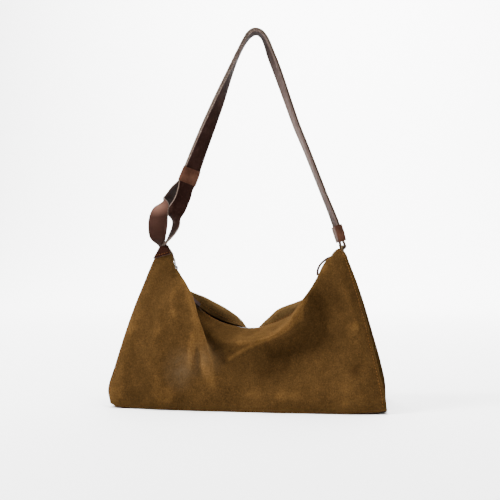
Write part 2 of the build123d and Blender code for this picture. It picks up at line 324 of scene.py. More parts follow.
# ---- mesh helpers ----
def catmull(points, steps):
    """Points along axis 0 joined by centripetal Catmull-Rom curves, steps to a span."""
    points = np.asarray(points, float)
    first = 2 * points[0] - points[1]
    last = 2 * points[-1] - points[-2]
    p = np.concatenate([[first], points, [last]])
    rows = []
    for i in range(1, len(p) - 2):
        a, b, c, d = p[i - 1 : i + 3]
        knots = [0.0]
        for low, high in ((a, b), (b, c), (c, d)):
            gap = np.linalg.norm(high - low, axis=-1, keepdims=True) ** 0.5
            knots.append(knots[-1] + np.maximum(gap, 1e-3))
        t0, t1, t2, t3 = knots
        for k in range(steps):
            t = t1 + (t2 - t1) * k / steps
            a1 = (t1 - t) / (t1 - t0) * a + (t - t0) / (t1 - t0) * b
            a2 = (t2 - t) / (t2 - t1) * b + (t - t1) / (t2 - t1) * c
            a3 = (t3 - t) / (t3 - t2) * c + (t - t2) / (t3 - t2) * d
            b1 = (t2 - t) / (t2 - t0) * a1 + (t - t0) / (t2 - t0) * a2
            b2 = (t3 - t) / (t3 - t1) * a2 + (t - t1) / (t3 - t1) * a3
            rows.append((t2 - t) / (t2 - t1) * b1 + (t - t1) / (t2 - t1) * b2)
    rows.append(points[-1])
    return np.array(rows)


def smoothed(grid, rounds):
    """A grid of points relaxed towards its neighbours, its border kept."""
    grid = grid.copy()
    for _ in range(rounds):
        around = grid[:-2, 1:-1] + grid[2:, 1:-1] + grid[1:-1, :-2] + grid[1:-1, 2:]
        grid[1:-1, 1:-1] = grid[1:-1, 1:-1] * 0.5 + around * 0.125
    return grid


def normals_of(grid):
    along = np.gradient(grid, axis=0)
    down = np.gradient(grid, axis=1)
    n = np.cross(along, down)
    return n / np.maximum(np.linalg.norm(n, axis=-1, keepdims=True), 1e-9)


def make_mesh(name, vertices, faces, materials, indices=None):
    mesh = bpy.data.meshes.new(name)
    mesh.from_pydata([tuple(v) for v in np.asarray(vertices, float) * MM], [], faces)
    for material in materials:
        mesh.materials.append(material)
    if indices is not None:
        mesh.polygons.foreach_set("material_index", indices)
    mesh.polygons.foreach_set("use_smooth", [True] * len(mesh.polygons))
    mesh.update()
    obj = bpy.data.objects.new(name, mesh)
    bpy.context.scene.collection.objects.link(obj)
    return obj


def settle(obj, slot, *nodes, body="bag"):
    """Says which CAD nodes the piece replaces and which body it rides on; its slot argument is not used.
    Without a body, its transform is baked into its mesh."""
    if nodes:
        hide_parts(*nodes)
    if body:
        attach(obj, body)
    else:
        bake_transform(obj)


def grid_faces(number):
    """The quads of a grid, from its points' numbers."""
    corners = np.stack([number[:-1, :-1], number[1:, :-1], number[1:, 1:], number[:-1, 1:]], axis=-1)
    return [tuple(quad) for quad in corners.reshape(-1, 4).tolist()]


def skin(name, grid, depth, thickness, materials, relief=None):
    """A sheet whose outer face lies depth inside grid, and which is thickness deep. Its outside is where the
    grid's first axis crossed with its second points. relief goes to the material, point by point. The edge
    split keeps the border between the faces and the rim crisp."""
    n = normals_of(grid)
    top = (grid - n * depth).reshape(-1, 3)
    low = (grid - n * (depth + thickness)).reshape(-1, 3)
    count = len(top)
    number = np.arange(count).reshape(grid.shape[:2])
    faces, indices = [], []
    for quad in grid_faces(number):
        faces += [quad, tuple(count + v for v in reversed(quad))]
        indices += [0, 1]
    border = [*number[:, 0], *number[-1, 1:], *number[-2::-1, -1], *number[0, -2:0:-1]]
    for a, b in zip(border, border[1:] + border[:1]):
        faces.append((b, a, count + a, count + b))
        indices.append(2)
    obj = make_mesh(name, np.concatenate([top, low]), faces, materials, indices)
    if relief is not None:
        values = obj.data.attributes.new("relief", "FLOAT", "POINT")
        values.data.foreach_set("value", np.tile(relief.reshape(-1), 2))
    obj.data.validate()
    obj.modifiers.new("edges", "EDGE_SPLIT").split_angle = radians(50)
    return obj


def tube_faces(base, rings, sides, closed=False):
    """Quads between rings of points, sides to a ring, whose first point is number base."""
    faces = []
    for r in range(rings if closed else rings - 1):
        this, following = base + r * sides, base + (r + 1) % rings * sides
        for k in range(sides):
            beside = (k + 1) % sides
            faces.append((this + k, this + beside, following + beside, following + k))
    return faces


def capsules(name, places, headings, lifts, length, radius, material):
    """Many short threads: each lies along its heading, rounded towards its lift and dipping at its ends."""
    vertices, faces, sides = [], [], 6
    rings = [(-0.5, 0.15), (-0.38, 0.8), (0.0, 1.0), (0.38, 0.8), (0.5, 0.15)]
    for place, heading, lift in zip(places, headings, lifts):
        heading = heading / max(np.linalg.norm(heading), 1e-9)
        side = np.cross(heading, lift)
        side /= max(np.linalg.norm(side), 1e-9)
        up = np.cross(side, heading)
        base = len(vertices)
        for share, size in rings:
            centre = place + heading * length * share - up * radius * 1.43 * abs(share)
            for k in range(sides):
                angle = 2 * pi * k / sides
                vertices.append(centre + (side * cos(angle) + up * sin(angle)) * radius * size)
        faces += tube_faces(base, len(rings), sides)
        faces.append(tuple(base + k for k in reversed(range(sides))))
        faces.append(tuple(base + (len(rings) - 1) * sides + k for k in range(sides)))
    return make_mesh(name, vertices, faces, [material])


def even(points, spacing, margin):
    """Points spacing apart along a polyline, with the heading at each."""
    points = np.asarray(points, float)
    gaps = np.linalg.norm(np.diff(points, axis=0), axis=1)
    length = np.concatenate([[0], np.cumsum(gaps)])
    count = max(2, int((length[-1] - 2 * margin) / spacing))
    at = np.linspace(margin, length[-1] - margin, count)

    def points_at(distances):
        return np.stack([np.interp(distances, length, points[:, k]) for k in range(3)], axis=1)

    return points_at(at), points_at(np.minimum(at + 0.5, length[-1])) - points_at(np.maximum(at - 0.5, 0))


def add_stitches(name, points, normals, spacing=4.1, length=2.5, radius=0.36, material=thread, slot="suede",
                 body="bag"):
    """A row of stitches on a surface, given the surface's points and normals along the row."""
    places, headings = even(points, spacing, spacing * 0.6)
    lifts = np.array([normals[np.argmin(np.linalg.norm(points - p, axis=1))] for p in places])
    settle(capsules(name, places + lifts * 0.15, headings, lifts, length, radius, material), slot, body=body)


# ---- the suede shell ----
# control nets of points: a list for each line from the opening to the base, left seam to right
front_net = [
    # left seam
    [(-128, -13, 222), (-132, -15, 214), (-139, -17, 200), (-150, -22, 171), (-161, -30, 140),
     (-172, -41, 102), (-183, -53, 58), (-191, -61, 24), (-187, -63, 5)],
    [(-124, -14, 223), (-124, -18, 213), (-128, -21, 200), (-139, -30, 171), (-150, -38, 139),
     (-161, -49, 101), (-171, -61, 57), (-177, -69, 22), (-176, -69, 2)],
    [(-119, -13, 220), (-115, -17, 214), (-118, -24, 197), (-125, -33, 170), (-134, -42, 138),
     (-141, -53, 100), (-148, -64, 56), (-151, -72, 21), (-150, -71, 1)],
    [(-115, -11, 213), (-109, -16, 208), (-109, -25, 195), (-112, -38, 167), (-116, -50, 136),
     (-119, -62, 99), (-120, -71, 56), (-120, -76, 22), (-119, -74, 0.5)],
    [(-112, -10, 198), (-107, -16, 197), (-103, -26, 186), (-98, -43, 162), (-95, -55, 134),
     (-92, -65, 99), (-87, -73, 57), (-81, -78, 24), (-80, -76, 0)],
    # the edge of the left fold, which overhangs the middle
    [(-105, -10, 178), (-98, -18, 183), (-89, -28, 173), (-75, -43, 153), (-64, -56, 126),
     (-52, -69, 93), (-46, -76, 60), (-40, -77, 26), (-36, -77, 0)],
    # tucked under it
    [(-84, -9, 144), (-85, -9, 149), (-85, -10, 144), (-82, -13, 132), (-73, -22, 115),
     (-53, -42, 86), (-30, -66, 57), (-19, -75, 28), (-16, -77, 0)],
    [(-44, -9.5, 117), (-46, -12, 116), (-46, -18, 111), (-45, -29, 105), (-40, -41, 94),
     (-26, -50, 76), (-10, -60, 52), (-1, -75, 24), (0, -77, 0)],
    [(0, -9.5, 105.5), (0, -14, 107.5), (1, -24, 106.5), (2, -40, 101), (7, -60, 93),
     (13, -52, 80), (20, -57, 52), (23, -75, 23), (24, -77, 0)],
    [(34, -9.5, 111.5), (35, -15, 114.5), (36, -26, 113.5), (37, -46, 108), (38, -66, 101),
     (45, -48, 87), (50, -57, 52), (51, -75, 23), (51, -77, 0)],
    # the right wing's ridge
    [(66, -10, 129), (66, -14, 131), (65, -25, 129), (61, -46, 124), (60, -66, 116),
     (70, -44, 98), (75, -58, 54), (75, -74, 23), (75, -76, 0)],
    [(88, -10, 149), (85, -18, 156), (80, -31, 154), (75, -50, 144), (73, -63, 131),
     (88, -38, 104), (94, -57, 56), (94, -73, 23), (93, -75, 0)],
    # the hollow right of it
    [(103, -10, 171), (98, -18, 182), (95, -28, 179), (94, -38, 163), (99, -33, 140),
     (107, -40, 103), (113, -61, 57), (114, -72, 23), (112, -74, 0)],
    [(112, -11, 197), (108, -17, 203), (110, -26, 195), (119, -31, 170), (127, -36, 139),
     (134, -50, 101), (140, -65, 56), (142, -72, 22), (142, -73, 1)],
    [(118, -12, 213), (119, -17, 212), (124, -23, 199), (134, -33, 171), (145, -43, 139),
     (154, -53, 101), (164, -63, 56), (169, -69, 22), (169, -70, 2)],
    [(126, -14, 220), (129, -19, 212), (134, -22, 199), (143, -29, 171), (153, -37, 140),
     (163, -47, 101), (174, -58, 56), (181, -66, 22), (183, -67, 3)],
    # right seam
    [(132, -15, 220), (137, -19, 212), (142, -18, 200), (152, -23, 171), (161, -31, 140),
     (171, -41, 102), (182, -54, 58), (190, -62, 26), (193, -64, 6)],
]

back_net = [
    [(-127, 12, 222), (-131, 15, 214), (-138, 17, 200), (-149, 22, 171), (-160, 30, 140),
     (-171, 41, 102), (-182, 53, 58), (-190, 61, 24), (-187, 64, 4)],
    [(-124, 14, 222), (-124, 17, 213), (-127, 20, 200), (-138, 28, 171), (-149, 37, 139),
     (-160, 48, 101), (-171, 60, 57), (-177, 67, 21), (-176, 68, 2)],
    [(-117, 11, 213), (-115, 15, 209), (-116, 22, 198), (-120, 33, 171), (-129, 43, 138),
     (-136, 55, 100), (-142, 66, 56), (-146, 72, 22), (-146, 72, 1)],
    [(-113, 10, 194), (-112, 16, 187), (-110, 24, 177), (-108, 36, 159), (-108, 47, 132),
     (-113, 59, 96), (-116, 70, 55), (-118, 75, 22), (-118, 75, 0)],
    [(-102, 10, 167), (-99, 16, 166), (-95, 24, 159), (-90, 37, 144), (-88, 49, 122),
     (-90, 61, 91), (-92, 71, 53), (-93, 75, 22), (-93, 75, 0)],
    [(-76, 10, 136), (-70, 14, 149), (-64, 22, 146), (-60, 37, 134), (-59, 51, 112),
     (-59, 63, 84), (-60, 71, 50), (-60, 76, 22), (-60, 76, 0)],
    [(-44, 10, 117), (-40, 14, 130), (-36, 23, 131), (-33, 38, 121), (-32, 51, 101),
     (-31, 62, 78), (-30, 71, 48), (-30, 76, 22), (-30, 77, 0)],
    [(-20, 9.6, 110), (-19, 14, 116), (-18, 23, 119), (-17, 38, 110), (-16, 51, 92),
     (-15, 61, 71), (-15, 70, 46), (-15, 76, 22), (-15, 77, 0)],
    [(0, 9.5, 105.5), (0, 13, 104), (0, 23, 102), (0, 37, 95), (0, 50, 82),
     (0, 60, 65), (0, 70, 44), (0, 76, 22), (0, 77, 0)],
    [(20, 9.6, 107), (19, 14, 112), (18, 23, 116), (17, 38, 108), (16, 51, 92),
     (15, 61, 71), (15, 70, 46), (15, 76, 22), (15, 77, 0)],
    [(44, 10, 112), (40, 14, 130), (38, 23, 133), (35, 38, 123), (33, 51, 102),
     (32, 62, 78), (31, 71, 48), (30, 76, 22), (30, 77, 0)],
    [(76, 10, 132), (71, 14, 142), (67, 22, 144), (63, 37, 134), (61, 50, 112),
     (61, 62, 84), (62, 71, 50), (62, 76, 22), (62, 76, 0)],
    [(103, 10, 171), (98, 16, 168), (94, 24, 158), (92, 36, 142), (93, 46, 119),
     (95, 58, 90), (98, 69, 54), (100, 75, 22), (100, 75, 0)],
    [(113, 10, 200), (114, 16, 195), (115, 24, 183), (119, 34, 160), (124, 44, 132),
     (131, 55, 98), (138, 66, 56), (141, 72, 22), (141, 73, 1)],
    [(124, 13, 217), (130, 17, 212), (134, 20, 199), (143, 27, 171), (153, 36, 140),
     (163, 47, 101), (173, 59, 56), (181, 66, 22), (182, 67, 3)],
    [(130, 13, 220), (136, 18, 212), (141, 18, 200), (152, 23, 171), (162, 31, 140),
     (173, 41, 101), (185, 54, 57), (192, 62, 24), (193, 65, 5)],
]


def draped(net, steps_across, seed, bulges=()):
    """A dense grid from a control net, relaxed, with the small unevenness of soft suede. Each bulge is
    (x, z, half width, half height, lean, height)."""
    grid = catmull(net, steps_across)
    grid = catmull(grid.transpose(1, 0, 2), 10).transpose(1, 0, 2)
    grid = smoothed(grid, 4)
    n = normals_of(grid)
    rows, columns = grid.shape[:2]
    for i in range(rows):
        for j in range(columns):
            x, y, z = grid[i, j]
            fade = min(1.0, i / 6, (rows - 1 - i) / 6, j / 8, (columns - 1 - j) / 6)
            at = Vector((x / 38 + seed, y / 46, z / 72))
            fine = Vector((x / 17 + seed, y / 17, z / 21))
            shift = noise.noise(at) * 2.8 + noise.noise(fine) * 0.9
            for at_x, at_z, wide, tall, lean, high in bulges:
                across = (x - at_x - lean * (z - at_z)) / wide
                shift -= high * math.exp(-(across**2) - ((z - at_z) / tall) ** 2)
            grid[i, j] += n[i, j] * shift * fade
    return grid


# painted highlights and painted shade along the front's folds: points (x, z) of each line, its half width,
# and its relief, above zero a painted highlight and below zero painted shade
FRONT_FOLDS = (
    # a painted highlight along the right wing's ridge and a lighter band above it, painted shade in the
    # hollow below the ridge, painted shade beside the left fold, two lit soft folds and painted shade between
    # them
    (((-22, 68), (-5, 79), (15, 90), (40, 100), (59, 114), (73, 130), (84, 150)), 2.2, 2.8),
    (((-34, 98), (10, 103), (46, 108)), 10, 0.5),
    (((76, 103), (56, 82), (32, 66), (10, 50)), 12, -0.1),
    (((-66, 110), (-52, 86), (-30, 64)), 5, -0.9),
    (((-70, 94), (-69, 61)), 3.6, 0.6),
    (((-57, 78), (-50, 46)), 3.4, 0.5),
    (((-62, 84), (-60, 52)), 4, -0.7),
)


def distance_to(line, x, z):
    """The distance in the X-Z plane from each point to a line of straight parts."""
    nearest = np.full(x.shape, 1e9)
    for (ax, az), (bx, bz) in zip(line, line[1:]):
        run = (bx - ax) ** 2 + (bz - az) ** 2
        share = np.clip(((x - ax) * (bx - ax) + (z - az) * (bz - az)) / run, 0, 1)
        nearest = np.minimum(nearest, np.hypot(x - ax - share * (bx - ax), z - az - share * (bz - az)))
    return nearest


def relief_of(grid, out, folds=()):
    """The painted light and shade at each point: raised creases and lit folds above zero, hollows and shaded
    folds below.
    """
    near = smoothed(grid, 30)
    wide = smoothed(grid, 260)
    # painted highlight where a point stands out of its smoothed surface, painted shade where it sinks in
    sharp = ((grid - near) * out).sum(axis=-1)
    broad = ((grid - wide) * out).sum(axis=-1)
    crease = np.sign(sharp) * np.maximum(np.abs(sharp) - 0.6, 0)
    relief = np.clip(crease * 2.6, -0.7, 3) + np.clip(broad, -5, 3) * 0.08
    for line, half_width, amount in folds:
        relief += amount * np.exp(-((distance_to(line, grid[..., 0], grid[..., 2]) / half_width) ** 2))
    return relief


FRONT_BULGES = (
    (-71, 74, 7, 26, 0.1, 2.6), (-53, 66, 6, 20, -0.35, 2.2), (-128, 92, 12, 34, 0.3, 1.6),
    (-98, 130, 9, 30, -0.1, 1.2), (-62, 70, 5, 22, -0.1, -1.6), (104, 60, 12, 30, 0.3, 2.0),
    (135, 110, 10, 34, -0.2, 1.4),
)
front = draped(front_net, 10, 3.1, FRONT_BULGES)
back = draped(back_net, 11, 9.7)
# the front's first axis runs to the right and its second runs down, which makes its normal point inwards
front_out = -normals_of(front)
back_out = normals_of(back)


SUEDE_DEEP = 1.8
LINING_AT, LINING_DEEP = 2.3, 0.7
# the front's outside is its grid's far side, so it is skinned the other way round
front_relief = relief_of(front, front_out, FRONT_FOLDS)[::-1]
settle(skin("front_panel_suede", front[::-1], 0, SUEDE_DEEP, SUEDE, front_relief), "suede", "front_panel")
back_relief = relief_of(back, back_out)
settle(skin("back_panel_suede", back, 0, SUEDE_DEEP, REAR_SUEDE, back_relief), "suede", "back_panel")
for name, grid, depth in (
    ("lining_front", front[6:-6, 5:-3][::-1], LINING_AT),
    ("lining_back", back[6:-6, 5:-3], LINING_AT),
    ("slip_pocket", back[50:-50, 40:-14], LINING_AT + 2 * LINING_DEEP),
):
    settle(skin(f"{name}_cloth", grid, depth, LINING_DEEP, LINING), "lining_cloth", name)


def gusset_grid(front_seam, back_seam, side):
    """The folded web between a front and a back seam, peak to base. side is 1 on the right."""
    rows, looseness = [], []
    for f, b, down in zip(front_seam, back_seam, np.linspace(0, 1, len(front_seam))):
        fold = 5 + 17 * sin(pi * min(1, down * 1.05)) ** 0.8
        half = (b[1] - f[1]) / 2
        gap = min(2.3, half * 0.2)
        # the web lies shallow at the peak, comes back out to the base's end and sinks to the floor there
        inwards = side * min(1.0, 0.25 + max(0.0, down - 0.16) / 0.3 * 0.75, 0.12 + (1 - down) / 0.22 * 0.88)
        sink = max(0.0, (down - 0.88) / 0.12) * (front_seam[-1][2] - 0.9)
        hem = [
            (-side * 1.2, gap, 0), (-inwards * 9, gap + 0.8, 0),
            (-inwards * 12.5, gap + half * 0.22, -sink * 0.8),
        ]
        slope = -inwards * (13 + fold * 0.55)
        crease = [(slope, -half * 0.3, -sink), (-inwards * (14 + fold), 0, -sink), (slope, half * 0.3, -sink)]
        section = [f + h for h in np.array(hem)]
        section += [(f + b) / 2 + c for c in np.array(crease)]
        section += [b + h * (1, -1, 1) for h in np.array(hem[::-1])]
        rows.append(section)
        looseness.append(abs(inwards))
    grid = catmull(np.array(rows).transpose(1, 0, 2), 5)
    for i in range(1, grid.shape[0] - 1):
        for j in range(1, grid.shape[1] - 1):
            y, z = grid[i, j, 1:]
            grid[i, j, 0] += noise.noise(Vector((y / 20 + 5 * side, z / 34, 0.4))) * 2.0 * looseness[j]
    return smoothed(grid, 2)


for side, name, seam in ((-1, "left", 0), (1, "right", -1)):
    web = gusset_grid(front[seam, 5:], back[seam, 5:], side)[::-side]
    settle(skin(f"gusset_{name}_suede", web, 0, 1.6, SUEDE), "suede", f"gusset_{name}")
    cloth = skin(f"lining_gusset_{name}_cloth", web[8:-8, 8:-3], 2.1, LINING_DEEP, LINING)
    settle(cloth, "lining_cloth", f"lining_gusset_{name}")


# ---- the base ----
def base_grid():
    """The sheet between the lower edges of the front and the back, flat on the floor but for its hems."""
    front_edge = front[:, -1]
    share, back_share = np.linspace(0, 1, len(front_edge)), np.linspace(0, 1, len(back))
    back_edge = np.stack([np.interp(share, back_share, back[:, -1, k]) for k in range(3)], axis=1)
    columns = []
    for f, b in zip(front_edge, back_edge):
        column = []
        for s in np.linspace(-1, 1, 25):
            x, y = (f + (b - f) * (s + 1) / 2)[:2]
            tuck = 0.4 * (abs(s) > 0.99)
            z = (f[2] if s < 0 else b[2]) * abs(s) ** 5
            column.append((x, y + (tuck if s < 0 else -tuck), max(z, 0.0)))
        columns.append(column)
    return np.array(columns)


settle(skin("base_suede", base_grid()[::-1], 0, 1.7, SUEDE), "suede", "base_panel")


# ---- topstitching ----
for name, grid, out, index, share in (
    ("front_left", front, front_out, 2, 0.6),
    ("front_right", front, front_out, -6, 0.4),
    ("back_left", back, back_out, 3, 0.2),
    ("back_right", back, back_out, -6, 0.6),
):
    line = grid[index] * (1 - share) + grid[index + 1] * share
    add_stitches(f"seam_stitches_{name}", line[3:-2], out[index][3:-2])
for name, grid, out in (("front", front, front_out), ("back", back, back_out)):
    add_stitches(f"opening_stitches_{name}", (grid[3:-3, 3] + grid[3:-3, 4]) * 0.5, out[3:-3, 3])


# ---- the zip ----
tape_low, tape_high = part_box("zip_tape_front")
ARC_X = (tape_low[0] + tape_high[0]) / 2 / MM
ARC_RADIUS = 118.35
ARC_Z = tape_low[2] / MM + 118.7


def on_arc(angle, radius, y=0.0):
    a = radians(angle)
    return np.array([ARC_X + radius * sin(a), y, ARC_Z - radius * cos(a)])


def degrees_of(length):
    return math.degrees(length / ARC_RADIUS)


def facing(part, grid, out, keep):
    """A leather strip on the inside of the opening's edge, which turns up where the suede turns."""
    strip, lift = grid[keep:-keep, :4], out[keep:-keep, :4]
    height = np.interp(strip[:, :1, 0], (-88, -35), (0.9, -2.9))[..., None]
    points = (strip + lift * height)[:: 1 if part == "back" else -1]
    obj = skin(f"facing_{part}_leather", points, 0, 0.9, (facing_leather, facing_leather, dark_edge))
    settle(obj, "facing_leather", f"zip_facing_{part}")


facing("back", back, back_out, 22)
facing("front", front, front_out, 26)

# one loop of a zip's coil: how far out from the middle, and how far above the tape
COIL_LOOP = [
    (1.1, -0.8), (0.95, -0.1), (1.1, 0.6), (1.6, 0.9), (2.5, 0.8), (3.2, 0.3), (3.2, -0.4), (2.4, -0.9),
    (1.6, -1.0),
]


def coil_teeth(part, sign):
    """One coil: closed loops of nylon thread laid side by side along the tape."""
    first, last, pitch, wire, sides = -82.0, 56.0, degrees_of(1.5), 0.42, 5
    total = len(COIL_LOOP)
    vertices, faces = [], []
    for k in range(int((last - first) / pitch)):
        angle = first + k * pitch
        a = radians(angle)
        run, outward = np.array([cos(a), 0, sin(a)]), np.array([sin(a), 0, -cos(a)])
        faces += tube_faces(len(vertices), total, sides, closed=True)
        for index, (y, r) in enumerate(COIL_LOOP):
            lean = (index / total - 0.5) * pitch * 0.35
            centre = on_arc(angle + lean, ARC_RADIUS - r, sign * y)
            ahead, behind = COIL_LOOP[(index + 1) % total], COIL_LOOP[index - 1]
            t = np.array([0, sign * (ahead[0] - behind[0]), 0]) - outward * (ahead[1] - behind[1])
            side = np.cross(t / np.linalg.norm(t), run)
            for turn in np.arange(sides) * 2 * pi / sides:
                vertices.append(centre + (run * cos(turn) + side * sin(turn)) * wire)
    obj = make_mesh(f"coil_{part}_teeth", vertices, faces, [coil_nylon])
    settle(obj, "coil_nylon", f"zip_coil_{part}")


coil_teeth("front", -1)
coil_teeth("back", 1)


def floor_sheet(name, node, thickness, material, slot, rumple):
    """A flat sheet over the base, narrower at its ends as the base is, and a little uneven."""
    low, high = (np.array(v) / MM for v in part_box(node))
    rows = []
    for x in np.linspace(low[0] + 14, high[0] - 14, 81):
        half = high[1] - 3 - 9 * min(1.0, max(0.0, (abs(x) - 150) / 35)) ** 2
        row = []
        for y in np.linspace(-half, half, 33):
            height = 0.5 + 0.5 * noise.noise(Vector((x / 21, y / 17, 6.2)))
            row.append((x, y, high[2] + height * rumple))
        rows.append(row)
    settle(skin(name, np.array(rows), 0, thickness, (material,) * 3), slot, node)


floor_sheet("base_board_sheet", "base_board", 1.4, board, "board", 0.0)
floor_sheet("lining_base_cloth", "lining_base", 0.7, lining_cloth, "lining_cloth", 0.6)

# the two CAD pieces whose shape is kept
for node in ("pull_link", "zip_slider"):
    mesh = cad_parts[node].data
    mesh.materials.clear()
    mesh.materials.append(nickel)


def facing_out(grid, centre):
    """The grid turned so that its outside points away from centre."""
    return grid if ((grid - centre) * normals_of(grid)).sum() >= 0 else grid[::-1]


def zip_stop(name, angle, *nodes):
    """A metal clip pinched over both coils."""
    half_long, half_wide, half_high = 1.6, 3.4, 1.9
    rows = []
    for along in np.linspace(-half_long, half_long, 9):
        row = []
        pinch = 0.5 * (along / half_long) ** 4
        for turn in np.linspace(0, 2 * pi, 21):
            r = 0.1 + (half_high - pinch) * abs(sin(turn)) ** 0.7 * (1 if sin(turn) > 0 else -1)
            row.append(on_arc(angle + degrees_of(along), ARC_RADIUS - r, (half_wide - pinch) * cos(turn)))
        rows.append(row)
    grid = np.array(rows)
    obj = skin(name, facing_out(grid, grid.mean(axis=(0, 1))), -0.3, 0.6, (nickel,) * 3)
    settle(obj, "nickel", *nodes)


zip_stop("zip_stop_left_metal", -84.5, "zip_stops")
zip_stop("zip_stop_right_metal", 58.5)


def tape(part, sign):
    """The cloth half of the zip: a narrow woven strip along the opening, a little uneven."""
    rows = []
    for angle in np.linspace(-84, 84, 150):
        row = []
        for y in np.linspace(2.6, 10.4, 7):
            ripple = 0.3 * noise.noise(Vector((angle / 7, y / 6 + 3 * sign, 1.7)))
            row.append(on_arc(angle, ARC_RADIUS + 0.3 + ripple, sign * y))
        rows.append(row)
    obj = skin(f"zip_tape_{part}_cloth", np.array(rows)[::sign], 0, 0.6, (zip_cloth,) * 3)
    settle(obj, "zip_cloth", f"zip_tape_{part}")


tape("front", -1)
tape("back", 1)


# ---- strips of leather ----
def strip_grid(first_edge, second_edge, steps):
    """The middle surface of a strip between its two edges, which run the same way."""
    first = catmull(first_edge, steps)
    second = catmull(second_edge, steps)
    share = np.linspace(0, 1, 9)[None, :, None]
    return first[:, None] * (1 - share) + second[:, None] * share


def strip(name, grid, thickness, materials, slot, *nodes, body="bag"):
    """A strip of leather on a middle surface, its faces half a thickness each side."""
    settle(skin(name, grid[:, ::-1], -thickness / 2, thickness, materials), slot, *nodes, body=body)


# the strap's centre line over the shoulder, from the left keeper round to the ring: x, z and twist in degrees
MAIN = [
    (-94, 311, 50), (-87, 328, 46), (-80.5, 345, 40), (-74, 362, 35), (-60, 397, 27), (-46, 431, 16),
    (-29, 473, -2), (-18, 498, -8), (-9, 515, -8), (-1, 526, -4), (8.5, 530.5, 0), (17, 526, 7),
    (23.5, 515, 13), (30, 497, 18), (40, 471, 19), (55, 428, 16), (67, 394, 14), (81, 360, 12),
    (101, 309, 11), (108, 291, 11), (115, 274, 12), (121, 258, 14), (126.5, 242, 14), (130.5, 228, 12),
]
LAYER, GAP, WIDE = 2.6, 0.3, 26.0
TO_FRONT = np.array([0, -1.0, 0])

main_dense = catmull([(x, 0, z, twist) for x, z, twist in MAIN], 12)
main_steps = np.linalg.norm(np.diff(main_dense[:, :3], axis=0), axis=1)
main_length = np.concatenate([[0], np.cumsum(main_steps)])
MAIN_TOTAL = main_length[-1]


def along_main(s):
    """The strap's centre, outward normal and front-edge direction, s along its centre line."""
    values = np.array([np.interp(s, main_length, main_dense[:, k]) for k in range(4)])
    ahead = np.array([np.interp(s + 2, main_length, main_dense[:, k]) for k in (0, 2)])
    behind = np.array([np.interp(s - 2, main_length, main_dense[:, k]) for k in (0, 2)])
    tangent = (ahead - behind) / np.linalg.norm(ahead - behind)
    outward = np.array([-tangent[1], 0, tangent[0]])
    turn = radians(values[3])
    front_edge = TO_FRONT * cos(turn) + outward * sin(turn)
    return values[:3], outward * cos(turn) - TO_FRONT * sin(turn), front_edge


def layer_edges(offset):
    """The two edges of a strap layer, offset from the strap's middle."""
    fronts, backs = [], []
    for s in np.linspace(4, MAIN_TOTAL - 5, 60):
        centre, normal, to_edge = along_main(s)
        fronts.append(centre + normal * offset + to_edge * WIDE / 2)
        backs.append(centre + normal * offset - to_edge * WIDE / 2)
    return fronts, backs


# the outer limb: from the left root up over its fold to the keeper, each station's first and second edge
OUTER_LIMB = [
    ((-128, -7, 220), (-131, 9, 220)), ((-124, -7, 230), (-137, 9, 226)),
    ((-119.5, -13, 242), (-144.5, -8, 236)), ((-117, -16, 256), (-146, -12, 250)),
    ((-116.5, -16, 272), (-145.5, -9, 264)), ((-116, -12, 282.5), (-143, -2, 275)),
    ((-122, -3, 290), (-138, 11, 283)), ((-127.5, 4, 293.5), (-127, 20, 283)),
    ((-123, 3, 299.5), (-110, 19, 290)), ((-113.5, -4, 309), (-98, 14, 301)),
]
# the inner limb: from the keeper down over its fold to the root
INNER_LIMB = [
    ((-102, -11, 309), (-86, 8, 304)), ((-104.5, -12, 299), (-88, 7, 295)),
    ((-109, -13, 289), (-91.5, 4, 284)), ((-115.5, -13, 280), (-95.5, 1, 273)),
    ((-120, -8, 274), (-100.5, -3, 263)), ((-120.5, 3, 270), (-101, -6, 256)),
    ((-115.5, 11, 261), (-103, -9, 249)), ((-117, 12, 249), (-108.5, -12, 240)),
    ((-121, 11, 239), (-117, -13, 231)), ((-124, 10, 230), (-126, -13, 223)),
    ((-127, 8, 221), (-131, -12, 217)),
]
HALF_PITCH = (LAYER + GAP) / 2
outer_first, outer_second = (
    list(limb) + edge for limb, edge in zip(zip(*OUTER_LIMB), layer_edges(HALF_PITCH))
)
strip(
    "strap_outer_strip", strip_grid(outer_first, outer_second, 5), LAYER, STRAP, "strap_leather",
    "strap_outer", "strap_limb_outer", body=None,
)
inner_first, inner_second = (
    edge[::-1] + list(limb) for limb, edge in zip(zip(*INNER_LIMB), layer_edges(-HALF_PITCH))
)
strip(
    "strap_inner_strip", strip_grid(inner_first, inner_second, 5), LAYER, INNER_STRAP, "strap_leather",
    "strap_inner", "strap_limb_inner", "strap_bend_right", body=None,
)

# the visual ring hangs lower than the CAD one, with the slouched peak
ring_low, ring_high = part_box("ring")
RING_WIRE = 1.6
RING_SAG = 15.9
RING_X = (ring_low[0] + ring_high[0]) / 2 / MM
UPPER_BAR = ring_high[2] / MM - RING_WIRE - RING_SAG
LOWER_BAR = UPPER_BAR - 11


def bar_loop(lean, radius, reach):
    """The line of a strip that comes down one side of the ring's upper bar, turns under it and goes up the
    other side."""
    centre = np.array([RING_X, 0, UPPER_BAR])
    axis = np.array([sin(radians(lean)), 0, cos(radians(lean))])
    side = np.array([cos(radians(lean)), 0, -sin(radians(lean))])

    def leg(t, sign):
        return centre + axis * t + sign * side * (radius * (1 - t / reach) + HALF_PITCH * t / reach)

    points = [leg(t, 1) for t in np.linspace(reach, 3, 6)]
    for a in radians(180) * np.linspace(0, 1, 13):
        points.append(centre + side * radius * cos(a) - axis * radius * sin(a))
    return np.array(points + [leg(t, -1) for t in np.linspace(3, reach, 6)])


def across_bag(line, half, steps):
    """The middle surface of a strip whose width runs along Y."""
    return strip_grid(line + [0, -half, 0], line + [0, half, 0], steps)


strip(
    "strap_loop_strip", across_bag(bar_loop(-15, 3.4, 13), WIDE / 2, 3), LAYER + 0.5, STRAP, "strap_leather",
    "strap_loop_right", body=None,
)


